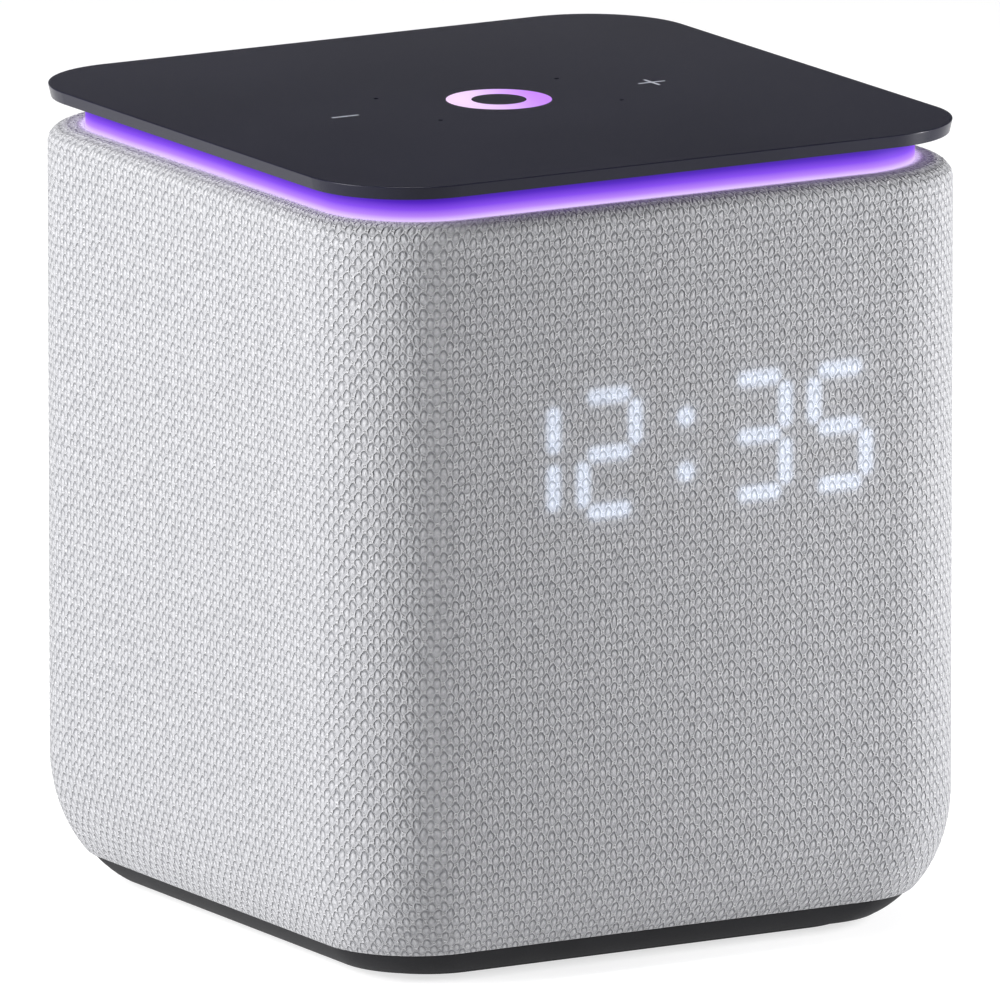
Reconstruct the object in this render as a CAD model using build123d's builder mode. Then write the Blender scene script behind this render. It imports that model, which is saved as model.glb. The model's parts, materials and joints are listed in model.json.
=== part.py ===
from build123d import *
import os
from math import asin, cos, pi, sin, sqrt

# Smart speaker: a fabric-wrapped cube with a floating touch plate, a light ring under it
# and a clock display behind the fabric. Millimetres, +Z up, origin at the centre of the
# underside. The front, with the display, faces -Y; the power inlet is at the back, +Y.

# Outer form over the fabric
side = 117.2
corner = 17.7
height = 133.0
curve_top = 22.24  # below this height the walls curve in under the body
curve_inset = 14.64  # how far the curve would reach in at its lowest point
curve_drop = 22.67  # how far below curve_top that lowest point lies
corner_share = 0.4  # the corner radius shrinks by this share of the inset

# Fabric sleeve, rigid shell behind it and the black base below it
fabric_low = 5.1
fabric_top = 126.3
fabric_thickness = 0.9
shoulder = 3.0
shell_inset = 1.0
shell_wall = 2.0
shell_inside = shell_inset + shell_wall
shell_top = fabric_top - fabric_thickness - 0.1
roof_under = shell_top - shell_wall
roof_hole = 100.0
base_inset = 0.6
foot_thickness = 1.2
base_floor = 3.0

# Top plate and light ring
plate_under = 130.9
plate_bevel = 0.48
ring_side = 107.5
ring_corner = 16.3
ring_wall = 2.5
boss_spot = 43.0
deck_thickness = 2.4
board = 1.6  # thickness of the main circuit boards
touch_board_thickness = 1.2
icon_outer = 17.3
icon_inner = 9.0
mark_spot = 28.8
mic_x = 17.0
mic_y = 10.5

# Clock display
display_x = 0.6
display_z = 86.2
digit_centres = (-29.2, -14.0, 14.1, 29.2)
digit_width = 12.2
digit_height = 21.4
stroke = 2.5
shown_digits = ("bc", "abged", "abgcd", "afgcd")
colon_offset = 4.55

# Sealed enclosure and loudspeakers
box_x = 46.5
box_front = -45.5
box_back = 44.0
box_low = 8.0
box_top = 104.0
box_wall = 2.5
woofer_z = 40.0
woofer_flange = 56.0
woofer_gap = 0.5
radiator_z = 44.0
tweeter_y = -8.0
tweeter_z = 91.0

# Rear bezel
bezel_z = 40.0
bezel_width = 44.0
bezel_height = 18.0
inlet_x = -9.0
button_x = 10.0

# Values used by several sub-parts
up_align = (Align.CENTER, Align.CENTER, Align.MIN)
down_align = (Align.CENTER, Align.CENTER, Align.MAX)
cut = 8.0  # depth of a cut that only has to pass through a wall or a board
slip = 0.05  # clearance of a hole round the part or screw in it

os.makedirs("parts", exist_ok=True)


def save(piece, name):
    """Label a finished piece and write it as its own file."""
    piece.label = name
    export_step(piece, f"parts/{name}.step")


def rounded_square(z, half, radius):
    """A horizontal rounded square, centred on the vertical axis."""
    with BuildSketch(Plane.XY.offset(z), mode=Mode.PRIVATE) as outline:
        RectangleRounded(2 * half, 2 * half, radius)
    return outline.sketch


def wall_inset(z):
    """How far the wall has curved in at height z."""
    if z >= curve_top:
        return 0.0
    return curve_inset * (1 - sqrt(1 - ((curve_top - z) / curve_drop) ** 2))


def body_outline(z, inset):
    """The body's horizontal outline at height z, moved inward by inset."""
    curved = wall_inset(z)
    return rounded_square(z, side / 2 - curved - inset, corner - corner_share * curved - inset)


def body_form(inset, low, top, shoulder_radius, steps=6):
    """A solid of the body's form between two heights, vertical above curve_top."""
    low_angle = asin((curve_top - low) / curve_drop)
    high_angle = asin(max(0, curve_top - top) / curve_drop)
    angles = [low_angle + (high_angle - low_angle) * i / steps for i in range(steps + 1)]
    heights = [curve_top - curve_drop * sin(angle) for angle in angles]
    with BuildPart() as form:
        loft([body_outline(z, inset).face() for z in heights])
        if top > curve_top:
            extrude(body_outline(curve_top, inset), amount=top - curve_top)
        if shoulder_radius:
            fillet(form.edges().group_by(Axis.Z)[-1], shoulder_radius)
    return form.part


def upright(y, x=0, z=0):
    """A vertical plane that faces the front, with its x along +X and its y along +Z."""
    return Plane((x, y, z), x_dir=(1, 0, 0), z_dir=(0, -1, 0))


def quarter_spots(distance):
    return [(distance, distance), (-distance, distance), (-distance, -distance), (distance, -distance)]


# Screws: head radius, head height, shank radius and length under the head
base_screw = (2.8, 1.7, 1.45, 6.6)
plate_screw = (2.4, 1.6, 1.25, 8.4)
woofer_screw = (2.4, 1.5, 1.25, 5.0)
radiator_screw = (1.7, 1.2, 1.25, 4.8)
board_screw = (1.8, 1.3, 1.0, 4.4)
deck_screw = (1.8, 1.3, 1.0, 3.8)
display_screw = (1.6, 1.2, 1.0, 2.0)
slot_share = 1.2  # length of the cross slot over the head's radius
slot_width = 0.5


def add_screws(seats, size):
    """Cross-slotted screws: each seat's origin is under the head, and its z points out of it."""
    head_radius, head_height, shank_radius, length = size
    slot = head_radius * slot_share
    for seat in seats:
        with Locations(seat):
            Cylinder(head_radius, head_height, align=up_align)
            Cylinder(shank_radius, length, align=down_align)
        with Locations(seat.offset(head_height)):
            Box(slot, slot_width, head_height, mode=Mode.SUBTRACT)
            Box(slot_width, slot, head_height, mode=Mode.SUBTRACT)


def plane_up(x, y, z):
    return Plane((x, y, z))


def plane_down(x, y, z):
    return Plane((x, y, z), x_dir=(1, 0, 0), z_dir=(0, 0, -1))


# ---------------------------------------------------------------- sleeve, shell and base

bezel_cut = 0.2
bezel_corner = 5.8
ring_gap = 0.1

with BuildPart() as fabric_sleeve:
    add(body_form(0, fabric_low, fabric_top, shoulder))
    inner_radius = shoulder - fabric_thickness
    inner_top = fabric_top - fabric_thickness
    add(body_form(fabric_thickness, fabric_low, inner_top, inner_radius), mode=Mode.SUBTRACT)
    hole = rounded_square(inner_top - 1, ring_side / 2 + ring_gap, ring_corner + ring_gap)
    extrude(hole, amount=4, mode=Mode.SUBTRACT)
    with BuildSketch(upright(side / 2 + 1, z=bezel_z)) as rear_cut:
        RectangleRounded(bezel_width + 2 * bezel_cut, bezel_height + 2 * bezel_cut, bezel_corner + bezel_cut)
    extrude(amount=cut, mode=Mode.SUBTRACT)
save(fabric_sleeve.part, "fabric_sleeve")

grille_pitch = 4.6
grille_slot = 2.2
woofer_grille = 23.0
radiator_grille = 28.0
tweeter_grille = 12.0
window_width = 78.0
window_height = 28.0
window_corner = 3.0
roof_corner = 14.0
through = 5.0  # cut through the shell's wall from the body's outline
small_hole = 1.05
deck_screw_x = 52.8
deck_screw_y = 20.0
deck_screw_depth = 1.7


def grille_slots(plane, radius):
    """Vertical slots that fill a circle on the given plane."""
    count = int((radius - 4) / grille_pitch)
    with BuildSketch(plane, mode=Mode.PRIVATE) as slots:
        for i in range(-count, count + 1):
            x = i * grille_pitch
            with Locations((x, 0)):
                SlotOverall(2 * sqrt(radius ** 2 - x ** 2), grille_slot, rotation=90)
    return slots.sketch


with BuildPart() as outer_shell:
    add(body_form(shell_inset, fabric_low, shell_top, shoulder - shell_inset))
    add(body_form(shell_inside, fabric_low, roof_under, 0), mode=Mode.SUBTRACT)
    extrude(rounded_square(roof_under - 1, roof_hole / 2, roof_corner), amount=4, mode=Mode.SUBTRACT)
    with BuildSketch(upright(-side / 2, display_x, display_z)) as window:
        RectangleRounded(window_width, window_height, window_corner)
    extrude(amount=-through, mode=Mode.SUBTRACT)
    extrude(grille_slots(upright(-side / 2, 0, woofer_z), woofer_grille), amount=-through, mode=Mode.SUBTRACT)
    for sign in (-1, 1):
        wall = Plane((sign * side / 2, 0, radiator_z), x_dir=(0, 1, 0), z_dir=(sign, 0, 0))
        extrude(grille_slots(wall, radiator_grille), amount=-through, mode=Mode.SUBTRACT)
        high = Plane((sign * side / 2, tweeter_y, tweeter_z), x_dir=(0, 1, 0), z_dir=(sign, 0, 0))
        extrude(grille_slots(high, tweeter_grille), amount=-through, mode=Mode.SUBTRACT)
    with BuildSketch(upright(side / 2 + 1, z=bezel_z)) as shell_rear_cut:
        RectangleRounded(bezel_width + 2 * bezel_cut, bezel_height + 2 * bezel_cut, bezel_corner + bezel_cut)
    extrude(amount=cut, mode=Mode.SUBTRACT)
    deck_screw_spots = [(sx * deck_screw_x, sy * deck_screw_y) for sx in (-1, 1) for sy in (-1, 1)]
    with Locations(*[(x, y, roof_under) for x, y in deck_screw_spots]):
        Cylinder(small_hole, 2 * deck_screw_depth, mode=Mode.SUBTRACT)
save(outer_shell.part, "outer_shell")

board_screw_spot = 37.0
base_screw_spots = quarter_spots(board_screw_spot)
pocket_half = 48.4
pocket_corner = 13.0
spigot_half = 50.1
spigot_corner = 14.0
spigot_height = 3.0
base_hole = 1.7
base_head_hole = 3.1
base_head_depth = 1.8
foot_low_half = 45.0
foot_low_corner = 12.7
foot_high_half = 47.8
foot_high_corner = 13.6
foot_hole_half = 30.0
foot_hole_corner = 8.0

with BuildPart() as base_cover:
    add(body_form(base_inset, foot_thickness, fabric_low, 0, steps=4))
    pocket = rounded_square(foot_thickness + base_floor, pocket_half, pocket_corner)
    extrude(pocket, amount=4, mode=Mode.SUBTRACT)
    spigot = rounded_square(foot_thickness + base_floor, spigot_half, spigot_corner) - pocket
    extrude(spigot, amount=spigot_height)
    with Locations(*[(x, y, foot_thickness) for x, y in base_screw_spots]):
        Cylinder(base_hole, 2 * cut, mode=Mode.SUBTRACT)
        Cylinder(base_head_hole, 2 * base_head_depth, mode=Mode.SUBTRACT)
save(base_cover.part, "base_cover")

with BuildPart() as rubber_foot:
    foot_low = rounded_square(0, foot_low_half, foot_low_corner)
    foot_high = rounded_square(foot_thickness, foot_high_half, foot_high_corner)
    loft([foot_low.face(), foot_high.face()])
    extrude(rounded_square(0, foot_hole_half, foot_hole_corner), amount=foot_thickness, mode=Mode.SUBTRACT)
save(rubber_foot.part, "rubber_foot")

with BuildPart() as base_screws:
    add_screws([plane_down(x, y, foot_thickness + base_head_depth) for x, y in base_screw_spots], base_screw)
save(base_screws.part, "base_screws")

# ---------------------------------------------------------------- top plate and its boards

icon_mid = (icon_outer + icon_inner) / 4
peg_radius = 1.3
icon_depth = 0.8
mark_depth = 0.4
mark_length = 5.0
mark_width = 0.5
gasket_depth = 0.8
gasket_radius = 2.5
gasket_hole = 0.6
mic_hole = 0.45
plate_edge_round = 0.15
boss_radius = 3.5
boss_bore = 1.3
boss_bore_depth = 6.4
icon_gap = 0.02
deck_top = roof_under


def quarter_pegs():
    """The four places round the icon ring where its pegs and its lights are."""
    return PolarLocations(icon_mid, 4, 45)


def volume_mark_sketch():
    """A minus at the left and a plus at the right."""
    with BuildSketch(Plane.XY.offset(height), mode=Mode.PRIVATE) as marks:
        with Locations((-mark_spot, 0), (mark_spot, 0)):
            Rectangle(mark_length, mark_width)
        with Locations((mark_spot, 0)):
            Rectangle(mark_width, mark_length)
    return marks.sketch


with BuildPart() as top_plate:
    loft(
        [
            rounded_square(plate_under, side / 2 - plate_bevel, corner - plate_bevel).face(),
            rounded_square(height, side / 2, corner).face(),
        ]
    )
    fillet(top_plate.edges().group_by(Axis.Z)[-1], plate_edge_round)
    with BuildSketch(Plane.XY.offset(height)) as icon_groove:
        Circle(icon_outer / 2)
        Circle(icon_inner / 2, mode=Mode.SUBTRACT)
    extrude(amount=-icon_depth, mode=Mode.SUBTRACT)
    extrude(volume_mark_sketch(), amount=-mark_depth, mode=Mode.SUBTRACT)
    with Locations((0, 0, plate_under)):
        with quarter_pegs():
            Cylinder(peg_radius + slip, 4, mode=Mode.SUBTRACT)
    with Locations((0, 0, plate_under)):
        with GridLocations(2 * mic_x, 2 * mic_y, 2, 2):
            Cylinder(mic_hole, cut, mode=Mode.SUBTRACT)
            Cylinder(gasket_radius + 2 * slip, 2 * gasket_depth, mode=Mode.SUBTRACT)
    with Locations(*[(x, y, deck_top) for x, y in quarter_spots(boss_spot)]):
        Cylinder(boss_radius, plate_under - deck_top, align=up_align)
        Cylinder(boss_bore, boss_bore_depth, align=up_align, mode=Mode.SUBTRACT)
save(top_plate.part, "top_plate")

with BuildPart() as touch_icon_ring:
    with BuildSketch(Plane.XY.offset(height)) as icon_face:
        Circle(icon_outer / 2 - icon_gap)
        Circle(icon_inner / 2 + icon_gap, mode=Mode.SUBTRACT)
    extrude(amount=-icon_depth)
    with Locations((0, 0, plate_under)):
        with quarter_pegs():
            peg = height - plate_under - icon_depth / 2
            Cylinder(peg_radius, peg, align=up_align)
save(touch_icon_ring.part, "touch_icon_ring")

with BuildPart() as volume_marks:
    extrude(volume_mark_sketch(), amount=-mark_depth)
save(volume_marks.part, "volume_marks")

ring_roof_gap = 0.8
ring_hole_half = 50.3
ring_hole_corner = 13.0

with BuildPart() as light_ring:
    ring_half = ring_side / 2
    extrude(rounded_square(shell_top, ring_half, ring_corner), amount=plate_under - shell_top)
    inside = rounded_square(shell_top + ring_roof_gap, ring_half - ring_wall, ring_corner - ring_wall)
    extrude(inside, amount=cut, mode=Mode.SUBTRACT)
    extrude(rounded_square(shell_top, ring_hole_half, ring_hole_corner), amount=2, mode=Mode.SUBTRACT)
save(light_ring.part, "light_ring")

led_board_half = 49.7
led_board_corner = 13.5
led_board_hole = 36.0
led_board_hole_corner = 8.0
led_board_thickness = 1.2
boss_gap = 0.3

with BuildPart() as ring_led_board:
    extrude(rounded_square(deck_top, led_board_half, led_board_corner), amount=led_board_thickness)
    board_hole = rounded_square(deck_top, led_board_hole, led_board_hole_corner)
    extrude(board_hole, amount=led_board_thickness, mode=Mode.SUBTRACT)
    with Locations(*[(x, y, deck_top) for x, y in quarter_spots(boss_spot)]):
        Cylinder(boss_radius + boss_gap, 4, mode=Mode.SUBTRACT)
save(ring_led_board.part, "ring_led_board")

led_count = 7
led_pitch = 11.0
led_row = 47.5
led_length = 3.2
led_depth = 1.6
led_height = 1.2

with BuildPart() as ring_leds:
    with Locations((0, 0, deck_top + led_board_thickness)):
        with PolarLocations(0, 4):
            with Locations((0, led_row)):
                with GridLocations(led_pitch, 1, led_count, 1):
                    Box(led_length, led_depth, led_height, align=up_align)
save(ring_leds.part, "ring_leds")

touch_low = plate_under - touch_board_thickness
touch_board_half = 38.0
touch_board_corner = 6.0
mic_port = 0.4
socket_y = 28.0
ribbon_width = 12.0
socket_length = 14.0
socket_depth = 4.0
socket_height = 1.2

with BuildPart() as touch_board:
    extrude(rounded_square(touch_low, touch_board_half, touch_board_corner), amount=touch_board_thickness)
    with Locations((0, 0, touch_low)):
        with quarter_pegs():
            Cylinder(peg_radius + 2 * slip, 4, mode=Mode.SUBTRACT)
        with GridLocations(2 * mic_x, 2 * mic_y, 2, 2):
            Cylinder(mic_port, 4, mode=Mode.SUBTRACT)
    with Locations((0, socket_y, touch_low)):
        Box(socket_length, socket_depth, socket_height, align=down_align)
save(touch_board.part, "touch_board")

icon_led_size = (3.0, 3.4, 0.8)
mic_size = (3.5, 2.7, 1.1)

with BuildPart() as icon_leds:
    with Locations((0, 0, touch_low)):
        with quarter_pegs():
            Box(*icon_led_size, align=down_align)
save(icon_leds.part, "icon_leds")

with BuildPart() as mic_capsules:
    with Locations((0, 0, touch_low)):
        with GridLocations(2 * mic_x, 2 * mic_y, 2, 2):
            Box(*mic_size, align=down_align)
save(mic_capsules.part, "mic_capsules")

with BuildPart() as mic_gaskets:
    with Locations((0, 0, plate_under)):
        with GridLocations(2 * mic_x, 2 * mic_y, 2, 2):
            Cylinder(gasket_radius, gasket_depth, align=up_align)
            Cylinder(gasket_hole, 2, mode=Mode.SUBTRACT)
save(mic_gaskets.part, "mic_gaskets")

deck_low = deck_top - deck_thickness
deck_gap = 0.3
deck_corner = 14.4
deck_hole = 1.4
deck_slot_length = 16.0
deck_slot_width = 8.0
rib_length = 60.0
rib_thickness = 1.4
rib_depth = 1.2
rib_places = (-30.0, -20.0)

with BuildPart() as top_deck:
    extrude(rounded_square(deck_low, side / 2 - shell_inside - deck_gap, deck_corner), amount=deck_thickness)
    with Locations(*[(x, y, deck_low) for x, y in quarter_spots(boss_spot)]):
        Cylinder(deck_hole, cut, mode=Mode.SUBTRACT)
    with Locations(*[(x, y, deck_low) for x, y in deck_screw_spots]):
        Cylinder(small_hole, cut, mode=Mode.SUBTRACT)
    with Locations((0, socket_y, deck_low)):
        Box(deck_slot_length, deck_slot_width, cut, mode=Mode.SUBTRACT)
    for angle in (0, 90):
        with BuildSketch(Plane.XY.offset(deck_low).rotated((0, 0, angle))) as ribs:
            with Locations(*[(0, y) for y in rib_places]):
                Rectangle(rib_length, rib_thickness)
        extrude(amount=-rib_depth)
save(top_deck.part, "top_deck")

with BuildPart() as top_plate_screws:
    add_screws([plane_down(x, y, deck_low) for x, y in quarter_spots(boss_spot)], plate_screw)
save(top_plate_screws.part, "top_plate_screws")

antenna_x = 26.0
antenna_y = 45.0
antenna_size = (24.0, 8.0, 0.8)
antenna_plug_radius = 1.3
antenna_plug_height = 1.1

with BuildPart() as wifi_antennas:
    for sign in (-1, 1):
        with Locations((sign * antenna_x, sign * antenna_y, deck_low)):
            Box(*antenna_size, align=down_align)
        with Locations((sign * antenna_x, sign * antenna_y, deck_low - antenna_size[2])):
            Cylinder(antenna_plug_radius, antenna_plug_height, align=down_align)
save(wifi_antennas.part, "wifi_antennas")

# ---------------------------------------------------------------- clock display

housing_width = 77.4
housing_height = 27.4
housing_front = -side / 2 + shell_inset
housing_back = -50.0
housing_corner = 2.7
tab_height = 3.6
tab_thickness = 2.0
tab_overhang = 3.0  # how much wider the tabs' plate is than the housing
well_gap = 0.1
display_screw_x = 30.0
colon_shift = 0.3
colon_dot = 1.5
pipe_set_back = 1.4
tab_screw_z = housing_height / 2 + tab_height / 2
display_screw_spots = [
    (display_x + sx * display_screw_x, display_z + sz * tab_screw_z) for sx in (-1, 1) for sz in (-1, 1)
]

segment_x = (digit_width - stroke) / 2
segment_z = (digit_height - stroke) / 2
segment_places = {
    "a": (0, segment_z, 0),
    "b": (segment_x, segment_z / 2, 90),
    "c": (segment_x, -segment_z / 2, 90),
    "d": (0, -segment_z, 0),
    "e": (-segment_x, -segment_z / 2, 90),
    "f": (-segment_x, segment_z / 2, 90),
    "g": (0, 0, 0),
}


level_bar = 8.0
upright_bar = 7.7


def segments(plane, lit, grow=0.0):
    """The lit or the unlit segments of the four digits; lit ones include the colon's two dots."""
    with BuildSketch(plane, mode=Mode.PRIVATE) as faces:
        for centre, shown in zip(digit_centres, shown_digits):
            for letter, (x, z, turn) in segment_places.items():
                if (letter in shown) == lit:
                    half = (upright_bar if turn else level_bar) / 2 + grow
                    thick = stroke / 2 + grow
                    flat = half - thick
                    with BuildSketch(mode=Mode.PRIVATE) as bar:
                        Polygon(
                            (-half, 0), (-flat, thick), (flat, thick),
                            (half, 0), (flat, -thick), (-flat, -thick), align=None,
                        )
                    with Locations(Location((centre + x, z), turn)):
                        add(bar.sketch)
        if lit:
            with Locations((colon_shift, colon_offset), (colon_shift, -colon_offset)):
                Circle(colon_dot + grow)
    return faces.sketch


display_plane = upright(housing_front, display_x, display_z)
pipe_length = housing_back - housing_front - pipe_set_back

with BuildPart() as display_housing:
    with BuildSketch(display_plane) as housing_outline:
        RectangleRounded(housing_width, housing_height, housing_corner)
    extrude(amount=housing_front - housing_back)
    with BuildSketch(upright(-side / 2 + shell_inside + well_gap, display_x, display_z)) as tabs:
        RectangleRounded(housing_width + tab_overhang, housing_height + 2 * tab_height, housing_corner)
    extrude(amount=-tab_thickness)
    for lit in (True, False):
        wells = segments(display_plane, lit, well_gap)
        extrude(wells, amount=housing_front - housing_back, mode=Mode.SUBTRACT)
    for x, z in display_screw_spots:
        with Locations(upright(-side / 2 + shell_inside, x, z)):
            Cylinder(small_hole, cut, mode=Mode.SUBTRACT)
save(display_housing.part, "display_housing")

for is_lit, pipe_name in ((True, "display_segments_lit"), (False, "display_segments_unlit")):
    with BuildPart() as light_pipes:
        extrude(segments(display_plane, is_lit), amount=-pipe_length)
    save(light_pipes.part, pipe_name)

display_board_width = 76.0
display_board_height = 27.0
display_board_corner = 2.0
display_socket_z = 93.0
display_led_size = 1.6
display_led_depth = 0.8

with BuildPart() as display_board:
    with BuildSketch(upright(housing_back, display_x, display_z)) as board_outline:
        RectangleRounded(display_board_width, display_board_height, display_board_corner)
    extrude(amount=-board)
    with Locations((display_x, housing_back + board + socket_height / 2, display_socket_z)):
        Box(socket_length, socket_height, socket_depth)
save(display_board.part, "display_board")

with BuildPart() as display_leds:
    for centre in digit_centres:
        for x, z, turn in segment_places.values():
            with Locations((display_x + centre + x, housing_back - display_led_depth / 2, display_z + z)):
                Box(display_led_size, display_led_depth, display_led_size)
    for sign in (-1, 1):
        dot_z = display_z + sign * colon_offset
        with Locations((display_x + colon_shift, housing_back - display_led_depth / 2, dot_z)):
            Box(display_led_size, display_led_depth, display_led_size)
save(display_leds.part, "display_leds")

# ---------------------------------------------------------------- enclosure and woofer

baffle_thickness = 3.0
gasket_thickness = 0.6
flange_thickness = 2.0
baffle_front = box_front - baffle_thickness
gasket_front = baffle_front - gasket_thickness
flange_front = gasket_front - flange_thickness
box_centre_y = (box_front + box_back) / 2
box_depth = box_back - box_front
woofer_screw_spot = 23.5
rear_screw_x = 18.0
rear_screw_z = 6.5
standoff_height = 4.0
standoff_radius = 2.5
rear_standoff_height = 3.0
pilot_depth = 3.3
box_corner = 8.0
opening_width = 68.0
opening_height = 52.0
opening_corner = 6.0
woofer_screw_spots = [(x, woofer_z + z) for x, z in quarter_spots(woofer_screw_spot)]
board_screw_spots = quarter_spots(board_screw_spot)
rear_screw_spots = [(sx * rear_screw_x, bezel_z + sz * rear_screw_z) for sx in (-1, 1) for sz in (-1, 1)]
board_low = box_top + standoff_height
rear_board_back = box_back + rear_standoff_height
radiator_hole = 27.7
radiator_screw_ring = 31.0
pilot_hole = 1.3
radiator_pilot_depth = 2.2
base_pilot = 1.5
base_pilot_depth = 4.8

with BuildPart() as enclosure_body:
    with BuildSketch(Plane.XY.offset(box_low)) as box_outline:
        with Locations((0, box_centre_y)):
            RectangleRounded(2 * box_x, box_depth, box_corner)
    extrude(amount=box_top - box_low)
    with BuildSketch(Plane.XY.offset(box_low + box_wall)) as box_cavity:
        with Locations((0, box_centre_y)):
            RectangleRounded(2 * (box_x - box_wall), box_depth - 2 * box_wall, box_corner - box_wall)
    extrude(amount=box_top - box_low - 2 * box_wall, mode=Mode.SUBTRACT)
    with BuildSketch(upright(box_front, 0, woofer_z)) as front_opening:
        RectangleRounded(opening_width, opening_height, opening_corner)
    extrude(amount=-box_wall, mode=Mode.SUBTRACT)
    for sign in (-1, 1):
        side_wall = Plane((sign * box_x, 0, radiator_z), x_dir=(0, 1, 0), z_dir=(sign, 0, 0))
        with Locations(side_wall):
            Cylinder(radiator_hole, 2 * box_wall + 1, mode=Mode.SUBTRACT)
            with PolarLocations(radiator_screw_ring, 4, 45):
                Cylinder(pilot_hole, 2 * radiator_pilot_depth, mode=Mode.SUBTRACT)
    with Locations(*[(x, y, box_low) for x, y in base_screw_spots]):
        Cylinder(4, box_low - foot_thickness - base_floor, align=down_align)
        Cylinder(base_pilot, 2 * base_pilot_depth, mode=Mode.SUBTRACT)
    with Locations(*[(x, y, box_top) for x, y in board_screw_spots]):
        Cylinder(standoff_radius, standoff_height, align=up_align)
    with Locations(*[(x, y, board_low) for x, y in board_screw_spots]):
        Cylinder(small_hole, 2 * pilot_depth, mode=Mode.SUBTRACT)
    for x, z in rear_screw_spots:
        with Locations(upright(rear_board_back, x, z)):
            Cylinder(standoff_radius, rear_standoff_height, align=up_align)
            Cylinder(small_hole, 2 * pilot_depth, mode=Mode.SUBTRACT)
save(enclosure_body.part, "enclosure_body")

basket_front_radius = 24.0
basket_back_radius = 19.0
basket_wall = 1.5
basket_mouth = 12.0
basket_window = 9.0
basket_window_depth = 16.0
flange_corner = 8.0
baffle_width = 82.0
baffle_height = 62.0
baffle_corner = 7.0
baffle_pilot_depth = 2.6
gasket_screw_hole = 1.5
flange_screw_hole = 1.6
cone_land = 1.8
basket_land = 2.4
basket_back = -29.0
flange_back = gasket_front
cone_rim = 19.4
cone_neck = 8.05
cone_depth = 8.0
cone_neck_y = flange_front + cone_depth
cone_thickness = 0.8
roll_width = 3.0
spider_y = -37.0

woofer_axis = Axis((0, 0, woofer_z), (0, 1, 0))
woofer_profile = Plane((0, 0, woofer_z), x_dir=(0, 1, 0), z_dir=(1, 0, 0))


def basket_radius(y):
    """Outer radius of the basket's cone at depth y."""
    share = (y - flange_back) / (basket_back - flange_back)
    return basket_front_radius + share * (basket_back_radius - basket_front_radius)


with BuildPart() as front_baffle:
    with BuildSketch(upright(box_front, 0, woofer_z)) as baffle_outline:
        RectangleRounded(baffle_width, baffle_height, baffle_corner)
        Circle(basket_front_radius + woofer_gap, mode=Mode.SUBTRACT)
    extrude(amount=box_front - baffle_front)
    for x, z in woofer_screw_spots:
        with Locations(upright(baffle_front, x, z)):
            Cylinder(pilot_hole, 2 * baffle_pilot_depth, mode=Mode.SUBTRACT)
save(front_baffle.part, "front_baffle")

with BuildPart() as woofer_gasket:
    with BuildSketch(upright(baffle_front, 0, woofer_z)) as gasket_outline:
        RectangleRounded(woofer_flange, woofer_flange, flange_corner)
        Circle(basket_front_radius + woofer_gap, mode=Mode.SUBTRACT)
    extrude(amount=baffle_front - gasket_front)
    for x, z in woofer_screw_spots:
        with Locations(upright(baffle_front, x, z)):
            Cylinder(gasket_screw_hole, 4, mode=Mode.SUBTRACT)
save(woofer_gasket.part, "woofer_gasket")

with BuildPart() as woofer_basket:
    with BuildSketch(upright(gasket_front, 0, woofer_z)) as flange_outline:
        RectangleRounded(woofer_flange, woofer_flange, flange_corner)
        Circle(basket_front_radius - basket_wall, mode=Mode.SUBTRACT)
    extrude(amount=gasket_front - flange_front)
    with BuildSketch(woofer_profile) as basket_section:
        with BuildLine():
            Polyline(
                (flange_back, basket_front_radius),
                (basket_back, basket_back_radius),
                (basket_back, basket_mouth),
                (basket_back - basket_wall, basket_mouth),
                (basket_back - basket_wall, basket_back_radius - basket_wall),
                (flange_back, basket_front_radius - basket_wall),
                close=True,
            )
        make_face()
    revolve(axis=woofer_axis)
    basket_mid = (flange_back + basket_back) / 2
    for angle in (0, 90):
        with Locations(Plane((0, basket_mid, woofer_z)).rotated((0, angle, 0))):
            Box(woofer_flange, basket_window, basket_window_depth, mode=Mode.SUBTRACT)
    for x, z in woofer_screw_spots:
        with Locations(upright(flange_front, x, z)):
            Cylinder(flange_screw_hole, cut, mode=Mode.SUBTRACT)
save(woofer_basket.part, "woofer_basket")


edge_thickness = 0.6


def surround_section(plane, seat, inner_land, rim, roll, outer_land):
    """Half-roll edge seen in section: two flat lands joined by an arch that bulges out."""
    middle = rim + roll / 2
    with BuildSketch(plane, mode=Mode.PRIVATE) as section:
        with Locations((seat, middle)):
            Circle(roll / 2 + edge_thickness / 2)
            Circle(roll / 2 - edge_thickness / 2, mode=Mode.SUBTRACT)
            Rectangle(
                roll, 2 * roll, align=(Align.MIN, Align.CENTER), mode=Mode.SUBTRACT
            )
        with Locations((seat, rim - inner_land)):
            width = inner_land + edge_thickness / 2
            Rectangle(edge_thickness, width, align=(Align.MAX, Align.MIN))
        with Locations((seat, rim + roll - edge_thickness / 2)):
            width = outer_land + edge_thickness / 2
            Rectangle(edge_thickness, width, align=(Align.MAX, Align.MIN))
    return section.sketch


with BuildPart() as woofer_surround:
    edge = surround_section(woofer_profile, flange_front, cone_land, cone_rim, roll_width, basket_land)
    revolve(edge, axis=woofer_axis)
save(woofer_surround.part, "woofer_surround")

with BuildPart() as woofer_cone:
    with BuildSketch(woofer_profile) as cone_section:
        with BuildLine():
            Polyline(
                (flange_front, cone_rim),
                (flange_front, cone_rim - cone_land),
                (cone_neck_y, cone_neck),
                (cone_neck_y + cone_thickness, cone_neck),
                (flange_front + cone_thickness, cone_rim - cone_land),
                (flange_front + cone_thickness, cone_rim),
                close=True,
            )
        make_face()
    revolve(axis=woofer_axis)
save(woofer_cone.part, "woofer_cone")

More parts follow.
